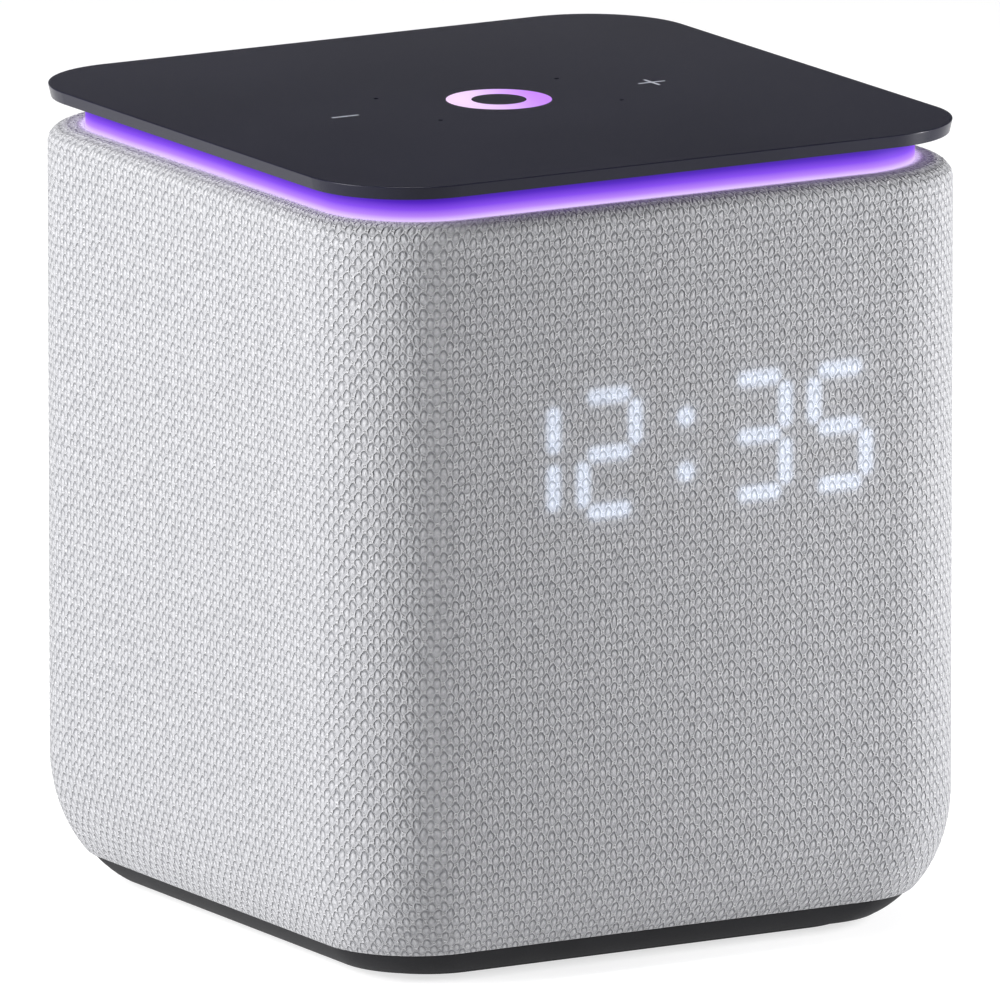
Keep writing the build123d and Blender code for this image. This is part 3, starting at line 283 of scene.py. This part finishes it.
def knit_material():
    """Net knit: a pale yarn arch round each stitch, a dark crescent of painted shade inside it under the arch,
    and a paler core; the tone follows the relief, partly the yarn's own colour and partly painted shade.

    The clock's light comes through it at the front, and the light ring's light falls on its top edge.
    """
    made = Shader("knit")
    cells = made.node("ShaderNodeUVMap", uv_map="knit").outputs[0]
    place = made.place()
    wander = made.node("ShaderNodeTexNoise", {"Vector": cells, "Scale": 1.1, "Detail": 2.0})
    shift = made.split(wander.outputs["Color"])
    across, up, _ = made.split(cells)
    across = made.math("MULTIPLY_ADD", made.math("SUBTRACT", shift[0], 0.5), WANDER_ACROSS, across)
    up = made.math("MULTIPLY_ADD", made.math("SUBTRACT", shift[1], 0.5), WANDER_UP, up)

    def stitch(offset):
        """Distance from the nearest stitch of one lattice, 1 on its arch, and the height above its middle."""
        side = made.math("SUBTRACT", made.math("FRACT", made.math("ADD", across, offset)), 0.5)
        above = made.math("FRACT", made.math("MULTIPLY_ADD", up, 0.5, offset))
        above = made.math("MULTIPLY_ADD", above, 2.0, -1.0)
        side = made.math("DIVIDE", side, ARCH_WIDTH)
        tall = made.math("DIVIDE", above, ARCH_HEIGHT)
        squared = made.math("MULTIPLY_ADD", side, side, made.math("MULTIPLY", tall, tall))
        return made.math("SQRT", squared), tall

    (near_a, tall_a), (near_b, tall_b) = stitch(0.5), stitch(0.0)
    first = made.math("LESS_THAN", near_a, near_b)
    near = made.math("MINIMUM", near_a, near_b)
    tall = made.math("MULTIPLY_ADD", first, made.math("SUBTRACT", tall_a, tall_b), tall_b)

    def band(low, peak, high):
        return made.math("MULTIPLY", made.smooth(near, low, peak), made.smooth(near, high, peak))

    arch = band(0.88, 1.06, 1.26)
    # Painted shade: the crescent inside each arch darkens the knit's tone, most towards the top of the stitch
    # under the arch.
    shade = made.math("MULTIPLY_ADD", made.smooth(tall, -0.6, 0.6), 0.85, 0.15)
    shadowed_crescent = made.math("MULTIPLY", band(0.34, 0.72, 0.96), shade)
    core = made.smooth(near, 0.45, 0.1)
    stretched = made.node("ShaderNodeMapping", {"Vector": cells, "Scale": (7.0, 3.0, 1.0)}).outputs[0]
    fibre = made.noise(stretched, 1.0, 3.0, 0.65)
    patch = made.noise(cells, 0.8, 3.0, 0.6)

    raised = made.math("MULTIPLY_ADD", core, 0.2, made.math("MULTIPLY", arch, 0.75))
    raised = made.math("MULTIPLY_ADD", shadowed_crescent, -0.6, raised)
    raised = made.math("MULTIPLY_ADD", fibre, 0.7, raised)
    light = made.math("MULTIPLY_ADD", patch, 0.5, raised)
    # The tone follows the relief: the raised yarn and core are paler, partly the yarn's own colour, and the
    # hollows carry painted shade.
    tone = made.mix(made.smooth(light, -0.3, 1.25), srgb(99, 100, 104), srgb(169, 169, 172))

    x, y, z = made.split(place)
    lit, halo = display_glow(made, x, y, z)
    thin = made.math("MULTIPLY_ADD", made.smooth(raised, -0.5, 1.0), 0.3, 0.3)
    glow = made.math("MULTIPLY", lit, thin)
    glow = made.math("MULTIPLY_ADD", halo, HALO_SHARE, glow)
    straight = RING_HIGH.x - RING_CORNER
    past_x = made.math("MAXIMUM", made.math("SUBTRACT", made.math("ABSOLUTE", x), straight), 0.0)
    past_y = made.math("MAXIMUM", made.math("SUBTRACT", made.math("ABSOLUTE", y), straight), 0.0)
    squared = made.math("MULTIPLY_ADD", past_x, past_x, made.math("MULTIPLY", past_y, past_y))
    away = made.math("SUBTRACT", made.math("SQRT", squared), RING_CORNER)
    rim = made.math("MULTIPLY", made.smooth(away, RIM_WIDE, 1.5 * MM), RIM_WIDE_SHARE)
    rim = made.math("MULTIPLY_ADD", made.smooth(away, RIM_CLOSE, 0.3 * MM), RIM_CLOSE_SHARE, rim)
    near_top = made.smooth(z, FABRIC_HIGH.z - 2.5 * MM, FABRIC_HIGH.z - 0.5 * MM)
    rim = made.math("MULTIPLY", rim, near_top)
    violet = made.smooth(z, DISPLAY_Z + 20 * MM, DISPLAY_Z + 30 * MM)
    colour = made.mix(violet, srgb(212, 225, 250), srgb(226, 200, 255))
    glow = made.math("ADD", rim, glow)
    return made.surface(
        Base_Color=tone, Roughness=0.9, Sheen_Weight=0.2, Sheen_Roughness=0.5, Specular_IOR_Level=0.2,
        Normal=made.bump(raised, 0.3 * MM, 1.0), Emission_Color=colour, Emission_Strength=glow,
    )


def wall_inset(z):
    """How far the wall stands in from the sleeve's widest part at this height."""
    if z >= CURVE_TOP:
        return 0.0
    return CURVE_INSET * (1 - math.sqrt(1 - ((CURVE_TOP - z) / CURVE_DROP) ** 2))


def arc(centre_inset, centre_z, radius, start, end, count):
    """Points of an arc in the wall's section: (inset, z, tilt), tilt being the normal's angle above level."""
    points = []
    for i in range(count + 1):
        angle = math.radians(start + (end - start) * i / count)
        points.append((centre_inset - radius * math.cos(angle), centre_z + radius * math.sin(angle), angle))
    return points


def sleeve_section():
    """The sleeve's section from rolled hem to rolled lip: (inset, z, tilt) at even steps up the wall."""
    edge_steps = 6
    shoulder_steps = 8
    step = ROW / STEPS_PER_ROW
    low = FABRIC_LOW.z + EDGE_ROLL
    hem_tilt = math.degrees(curve_tilt(low))
    hem_inset = wall_inset(low) + EDGE_ROLL * math.cos(math.radians(hem_tilt))
    hem_z = low - EDGE_ROLL * math.sin(math.radians(hem_tilt))
    section = arc(hem_inset, hem_z, EDGE_ROLL, -190, hem_tilt, edge_steps)[:-1]
    z = low
    while z < CURVE_TOP:
        tilt = curve_tilt(z)
        section.append((wall_inset(z), z, tilt))
        z += step * math.cos(tilt)
    shoulder_z = FABRIC_HIGH.z - SHOULDER
    rows = round((shoulder_z - CURVE_TOP) / step)
    for i in range(rows):
        section.append((0.0, CURVE_TOP + (shoulder_z - CURVE_TOP) * i / rows, 0.0))
    section += arc(SHOULDER, shoulder_z, SHOULDER, 0, 90, shoulder_steps)[:-1]
    lip_inset = HALF - RING_HIGH.x - RING_GAP - EDGE_ROLL
    section.append((SHOULDER, FABRIC_HIGH.z, math.pi / 2))
    section.append(((SHOULDER + lip_inset) / 2, FABRIC_HIGH.z, math.pi / 2))
    section += arc(lip_inset, FABRIC_HIGH.z - EDGE_ROLL, EDGE_ROLL, 90, 250, edge_steps)
    return section


def curve_tilt(z):
    """The wall normal's angle above level where the wall curves in; it is below level, so negative."""
    if z >= CURVE_TOP:
        return 0.0
    drop = (CURVE_TOP - z) / CURVE_DROP
    slope = CURVE_INSET / CURVE_DROP * drop / math.sqrt(1 - drop ** 2)
    return -math.atan(slope)


def ring_points(half, corner, per_cell):
    """The outline's points and outward normals, anticlockwise from the middle of the back."""
    straight = half - corner
    wall = WALL_CELLS * per_cell
    bend = CORNER_CELLS * per_cell
    quarter = []
    for i in range(wall // 2):
        quarter.append((straight * i / (wall / 2), half, 0.0, 1.0))
    for i in range(bend):
        angle = math.pi / 2 * i / bend
        nx, ny = math.sin(angle), math.cos(angle)
        quarter.append((straight + corner * nx, straight + corner * ny, nx, ny))
    for i in range(wall - wall // 2):
        quarter.append((half, straight - straight * i / (wall / 2), 1.0, 0.0))
    points = []
    for turn in range(4):
        cos_t, sin_t = (1, 0, -1, 0)[turn], (0, -1, 0, 1)[turn]
        for x, y, nx, ny in quarter:
            points.append((
                x * cos_t - y * sin_t, x * sin_t + y * cos_t, nx * cos_t - ny * sin_t, nx * sin_t + ny * cos_t
            ))
    return points


def knit_sleeve():
    """The stretched knit tube, with its relief, a rolled hem and lip, and the cut-out round the rear bezel."""
    section = sleeve_section()
    mesh = bpy.data.meshes.new("knit_sleeve")
    build = bmesh.new()
    uv = build.loops.layers.uv.new("knit")
    rings = []
    rows_up = [0.0]
    for (inset, z, _), (inset_next, z_next, _) in zip(section, section[1:]):
        rows_up.append(rows_up[-1] + math.hypot(inset_next - inset, z_next - z) / ROW)
    for (inset, z, tilt), row in zip(section, rows_up):
        edge = min(row, rows_up[-1] - row) / 3
        relief = RELIEF * max(0.0, min(1.0, edge - 0.4))
        corner = CORNER - CORNER_SHARE * wall_inset(z) - LIP_SHARE * max(0.0, inset - wall_inset(z))
        ring = []
        for i, (x, y, nx, ny) in enumerate(ring_points(HALF - inset, corner, COLUMNS_PER_CELL)):
            lift = -relief * math.cos(2 * math.pi * i / COLUMNS_PER_CELL) * math.cos(math.pi * row)
            out = lift * math.cos(tilt)
            ring.append(build.verts.new((x + nx * out, y + ny * out, z + lift * math.sin(tilt))))
        rings.append(ring)
    count = len(rings[0])
    for j in range(len(rings) - 1):
        for i in range(count):
            following = (i + 1) % count
            face = build.faces.new((rings[j][following], rings[j][i], rings[j + 1][i], rings[j + 1][following]))
            face.smooth = True
            corners = ((i + 1, j), (i, j), (i, j + 1), (i + 1, j + 1))
            for loop, (column, row) in zip(face.loops, corners):
                loop[uv].uv = (column / COLUMNS_PER_CELL, rows_up[row])
    cut_for_bezel(build)
    build.to_mesh(mesh)
    build.free()
    mesh.materials.append(knit_material())
    return add_piece(mesh, "body")


def cut_for_bezel(build):
    """Opens the sleeve round the rear bezel and turns the cut edge in."""
    half_x = BEZEL_HIGH.x - BEZEL_HOOK + BEZEL_GAP
    half_z = (BEZEL_HIGH.z - BEZEL_LOW.z) / 2 - BEZEL_HOOK + BEZEL_GAP
    middle_z = (BEZEL_HIGH.z + BEZEL_LOW.z) / 2
    nudge = 0.01 * MM

    def outside(x, z):
        """Distance from the rounded outline of the cut-out, negative inside it."""
        over_x = abs(x) - half_x + BEZEL_CORNER
        over_z = abs(z - middle_z) - half_z + BEZEL_CORNER
        return math.hypot(max(over_x, 0), max(over_z, 0)) + min(max(over_x, over_z), 0) - BEZEL_CORNER

    doomed = []
    for face in build.faces:
        centre = face.calc_center_median()
        if centre.y > HALF - BACK_DEPTH and outside(centre.x, centre.z) < 0:
            doomed.append(face)
    bmesh.ops.delete(build, geom=doomed, context="FACES")
    rim = []
    for edge in build.edges:
        spot = edge.verts[0].co
        at_back = min(v.co.y for v in edge.verts) > HALF - BACK_DEPTH
        at_cut = abs(spot.x) < half_x * 1.2 and abs(spot.z - middle_z) < half_z * 1.5
        if edge.is_boundary and at_back and at_cut:
            rim.append(edge)
    for vertex in {v for e in rim for v in e.verts}:
        for _ in range(SNAP_ROUNDS):
            x, z = vertex.co.x, vertex.co.z
            far = outside(x, z)
            slope_x = (outside(x + nudge, z) - far) / nudge
            slope_z = (outside(x, z + nudge) - far) / nudge
            vertex.co.x -= far * slope_x
            vertex.co.z -= far * slope_z
        vertex.co.y = HALF
    turned = bmesh.ops.extrude_edge_only(build, edges=rim)["geom"]
    for vertex in [v for v in turned if isinstance(v, bmesh.types.BMVert)]:
        vertex.co.y -= 2 * EDGE_ROLL
    for face in [f for f in turned if isinstance(f, bmesh.types.BMFace)]:
        face.smooth = True


def add_piece(mesh, body):
    """Puts a mesh in the scene as a piece that rides on a body."""
    piece = add_object(mesh.name, mesh)
    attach(piece, body)
    return piece


# ------------------------------------------------------------------ other materials

def plate_material():
    """Satin charcoal top plate."""
    made = Shader("plate")
    place = made.place()
    grain = made.noise(place, 2400.0, 2.0, 0.6)
    cloud = made.noise(place, 18.0, 2.0)
    tone = made.mix(made.smooth(cloud, 0.3, 0.7), srgb(23, 23, 34), srgb(27, 27, 38))
    gloss = made.math("MULTIPLY_ADD", grain, 0.08, 0.2)
    return made.surface(
        Base_Color=tone, Roughness=gloss, Specular_IOR_Level=0.14, Normal=made.bump(grain, 0.004 * MM)
    )


def ring_light_material():
    """Lit diffuser: pale lilac at the sleeve's lip, through violet to deep blue-violet under the plate, the
    darkening under the plate being painted shade from its overhang.
    """
    made = Shader("ring_light")
    place = made.place()
    _, _, z = made.split(place)
    rise = made.math("DIVIDE", made.math("SUBTRACT", z, FABRIC_HIGH.z), RING_HIGH.z - FABRIC_HIGH.z)
    wave = made.noise(place, 45.0, 1.0)
    rise = made.math("MULTIPLY_ADD", made.math("SUBTRACT", wave, 0.5), 0.12, rise)
    ramp = made.node("ShaderNodeValToRGB", {"Fac": rise})
    # Painted shade: the ramp darkens towards the plate, for the shade under its overhang.
    stops = (
        (0.0, (228, 200, 255)), (0.16, (186, 134, 248)), (0.4, (132, 74, 234)),
        (0.65, (82, 34, 190)), (0.8, (58, 22, 150)), (1.0, (40, 14, 110)),
    )
    elements = ramp.color_ramp.elements
    while len(elements) < len(stops):
        elements.new(0.5)
    for element, (position, colour) in zip(elements, stops):
        element.position = position
        element.color = srgb(*colour)
    return made.surface(
        Base_Color=srgb(30, 16, 60), Roughness=0.6, Specular_IOR_Level=0.05,
        Emission_Color=ramp.outputs["Color"], Emission_Strength=1.0,
    )


def icon_light_material():
    """The lit ring in the plate: pale pink at the left, violet at the right front."""
    made = Shader("icon_light")
    place = made.place()
    x, y, _ = made.split(place)
    slant = made.math("MULTIPLY_ADD", y, -0.35, x)
    wave = made.noise(place, 160.0, 1.0)
    share = made.math("MULTIPLY_ADD", wave, 0.2, made.smooth(slant, -7.5 * MM, 8.5 * MM))
    tone = made.mix(made.math("SUBTRACT", share, 0.1), srgb(246, 220, 246), srgb(196, 128, 246))
    return made.surface(Base_Color=srgb(70, 50, 90), Roughness=0.3, Emission_Color=tone, Emission_Strength=0.95)


def metal(name, colour, roughness=0.35):
    """Plain metal with fine drawn lines in its gloss and bump, and slow changes of tone."""
    made = Shader(name)
    place = made.place()
    drawn = made.node("ShaderNodeMapping", {"Vector": place, "Scale": (200.0, 200.0, 4000.0)}).outputs[0]
    lines = made.noise(drawn, 1.0, 2.0)
    slow = made.noise(place, 60.0, 2.0)
    tone = made.mix(slow, colour, tuple(channel * 0.8 for channel in colour[:3]) + (1.0,))
    gloss = made.math("MULTIPLY_ADD", lines, 0.2, roughness - 0.1)
    return made.surface(Base_Color=tone, Roughness=gloss, Metallic=1.0, Normal=made.bump(lines, 0.01 * MM))


def circuit_board():
    """Green solder mask with faint copper tracks under it."""
    made = Shader("circuit_board")
    place = made.place()
    tracks = made.node("ShaderNodeTexBrick", {
        "Vector": place, "Scale": 260.0, "Mortar Size": 0.06, "Mortar": srgb(34, 104, 58),
        "Color1": srgb(10, 62, 36), "Color2": srgb(12, 70, 40),
    })
    fine = made.noise(place, 1500.0, 2.0)
    gloss = made.math("MULTIPLY_ADD", fine, 0.1, 0.3)
    return made.surface(
        Base_Color=tracks.outputs["Color"], Roughness=gloss, Normal=made.bump(tracks.outputs["Fac"], -0.02 * MM)
    )


def pressed_paper():
    """Pulp cone: mottled fibres in the tone and the bump."""
    made = Shader("paper_cone")
    place = made.place()
    pulp = made.noise(place, 700.0, 4.0, 0.7)
    tone = made.mix(made.smooth(pulp, 0.3, 0.7), srgb(38, 38, 40), srgb(66, 66, 68))
    return made.surface(Base_Color=tone, Roughness=0.85, Normal=made.bump(pulp, 0.08 * MM))


def spider_cloth():
    """Resin-stiffened woven cloth."""
    made = Shader("spider_cloth")
    place = made.place()
    x, _, z = made.split(place)
    weave_x = made.math("SINE", made.math("MULTIPLY", x, 9000.0))
    weave_z = made.math("SINE", made.math("MULTIPLY", z, 9000.0))
    weave = made.math("MULTIPLY", weave_x, weave_z)
    tone = made.mix(made.smooth(weave, -1.0, 1.0), srgb(150, 112, 58), srgb(196, 158, 96))
    return made.surface(Base_Color=tone, Roughness=0.8, Normal=made.bump(weave, 0.05 * MM))


def dress_frame():
    """Gives every CAD node the material of its slot."""
    made = {
        "knit": moulded("knit_plain", srgb(210, 210, 214), 0.9, 1500.0, 0.1 * MM),
        "plate": plate_material(),
        "mark": moulded("mark", srgb(150, 152, 160), 0.5, 3000.0, 0.002 * MM),
        "icon_light": icon_light_material(),
        "ring_light": ring_light_material(),
        "display_light": moulded("display_light", srgb(220, 228, 240), 0.3, 600.0, 0.005 * MM),
        "display_dark": moulded("display_dark", srgb(150, 152, 156), 0.4, 600.0, 0.005 * MM),
        "black_plastic": moulded("black_plastic", srgb(22, 22, 25), 0.6, 2600.0, 0.02 * MM, 0.12),
        "shell_plastic": moulded("shell_plastic", srgb(150, 150, 154), 0.6, 1800.0, 0.02 * MM),
        "rubber": moulded("rubber", srgb(18, 18, 20), 0.85, 1200.0, 0.03 * MM, 0.1),
        "circuit_board": circuit_board(),
        "chip": moulded("chip", srgb(36, 36, 38), 0.6, 3000.0, 0.01 * MM),
        "led_white": moulded("led_white", srgb(244, 244, 236), 0.25, 2000.0, 0.002 * MM),
        "steel": metal("steel", srgb(176, 178, 182), 0.35),
        "aluminium": metal("aluminium", srgb(206, 208, 212), 0.4),
        "copper": metal("copper", srgb(196, 122, 76), 0.35),
        "ferrite": moulded("ferrite", srgb(58, 58, 62), 0.75, 1400.0, 0.04 * MM),
        "paper_cone": pressed_paper(),
        "spider_cloth": spider_cloth(),
        "ribbon": moulded("ribbon", srgb(186, 122, 40), 0.4, 900.0, 0.01 * MM),
    }
    for row in frame["record"]["subparts"]:
        node = frame["nodes"][row["node"]]
        node.data.materials.clear()
        node.data.materials.append(made[row["material_slot"]])


# ------------------------------------------------------------------ surrounds and spider

def flexing_ring(node_name, mover, turns_about_x, wedges, inner, outer):
    """Stands for a CAD ring with equal wedges cut from it, and hides the CAD ring.

    The mover, inner and outer arguments are not used.
    """
    def level(first, second):
        return Vector((0, first, second)) if turns_about_x else Vector((first, 0, second))

    node = frame["nodes"][node_name]
    low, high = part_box(node_name)
    middle = (low + high) / 2
    wedge = 2 * math.pi / wedges
    for k in range(wedges):
        mesh = node.data.copy()
        mesh.name = f"{node_name}_{k + 1:02d}"
        mesh.transform(node.matrix_world)
        build = bmesh.new()
        build.from_mesh(mesh)
        for angle, side in ((k * wedge, 1), ((k + 1) * wedge, -1)):
            across = level(-math.sin(angle), math.cos(angle)) * side
            parts = build.verts[:] + build.edges[:] + build.faces[:]
            bmesh.ops.bisect_plane(
                build, geom=parts, dist=WELD, plane_co=middle, plane_no=across, clear_inner=True
            )
        build.to_mesh(mesh)
        build.free()
        angle = (k + 0.5) * wedge
        piece = add_object(mesh.name, mesh)
        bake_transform(piece)
        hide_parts(node_name)


# ------------------------------------------------------------------ stage

def camera():
    """The photograph's point of view, fitted to the object's outline."""
    back = Vector((
        math.sin(AZIMUTH) * math.cos(ELEVATION), -math.cos(AZIMUTH) * math.cos(ELEVATION), math.sin(ELEVATION)
    ))
    right = Vector((math.cos(AZIMUTH), math.sin(AZIMUTH), 0))
    up = back.cross(right)
    made = bpy.data.cameras.new("camera")
    made.lens = LENS
    made.sensor_width = SENSOR
    made.clip_end = CAMERA_REACH
    eye = add_object("camera", made)
    eye.location = TARGET + right * TARGET_RIGHT + up * TARGET_UP + back * DISTANCE
    eye.rotation_euler = back.to_track_quat("Z", "Y").to_euler()
    bpy.context.scene.camera = eye


def soft_light(name, azimuth, elevation, distance, width, tall, power):
    """A rectangular soft box aimed at the middle of the object."""
    made = bpy.data.lights.new(name, "AREA")
    made.shape = "RECTANGLE"
    made.size = width
    made.size_y = tall
    made.energy = power
    a, e = math.radians(azimuth), math.radians(elevation)
    away = Vector((math.sin(a) * math.cos(e), -math.cos(a) * math.cos(e), math.sin(e)))
    lamp = add_object(name, made)
    lamp.visible_camera = False
    lamp.location = TARGET + away * distance
    lamp.rotation_euler = away.to_track_quat("Z", "Y").to_euler()


def floor():
    """A pale, evenly lit floor that fades into the background."""
    mesh = bpy.data.meshes.new("floor")
    build = bmesh.new()
    bmesh.ops.create_circle(build, cap_ends=True, radius=FLOOR_RADIUS, segments=96)
    build.to_mesh(mesh)
    build.free()
    made = Shader("floor")
    grain = made.noise(made.place(), 40.0, 2.0)
    tone = made.mix(grain, srgb(248, 248, 249), srgb(252, 252, 252))
    mesh.materials.append(made.surface(
        Base_Color=srgb(170, 170, 170), Roughness=0.9, Specular_IOR_Level=0.1, Emission_Color=tone,
        Emission_Strength=FLOOR_GLOW,
    ))
    ground = add_object("floor", mesh)


def world():
    """A faint even light from all sides."""
    made = bpy.data.worlds.new("world")
    made.use_nodes = True
    background = made.node_tree.nodes["Background"]
    background.inputs["Color"].default_value = (1.0, 1.0, 1.0, 1.0)
    background.inputs["Strength"].default_value = WORLD_LIGHT
    bpy.context.scene.world = made


camera()
world()
floor()
# name, azimuth and elevation in degrees, distance, width and height in metres, power in watts
soft_light("left_box", -95, 24, 0.9, 0.4, 0.7, 19.0)
soft_light("right_box", 55, 9, 0.34, 0.06, 0.2, 1.75)
soft_light("top_box", 0, 90, 1.5, 0.5, 0.5, 19.0)
soft_light("back_card", 162, 11.5, 0.36, 0.5, 0.05, 0.1)
bpy.context.scene.view_settings.view_transform = "Standard"

dress_frame()
flexing_ring("woofer_surround", "woofer_mover", False, *WOOFER_FLEX)
flexing_ring("woofer_spider", "woofer_mover", False, *SPIDER_FLEX)
flexing_ring("radiator_left_surround", "radiator_left_mover", True, *RADIATOR_FLEX)
flexing_ring("radiator_right_surround", "radiator_right_mover", True, *RADIATOR_FLEX)
sleeve = knit_sleeve()
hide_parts("fabric_sleeve")
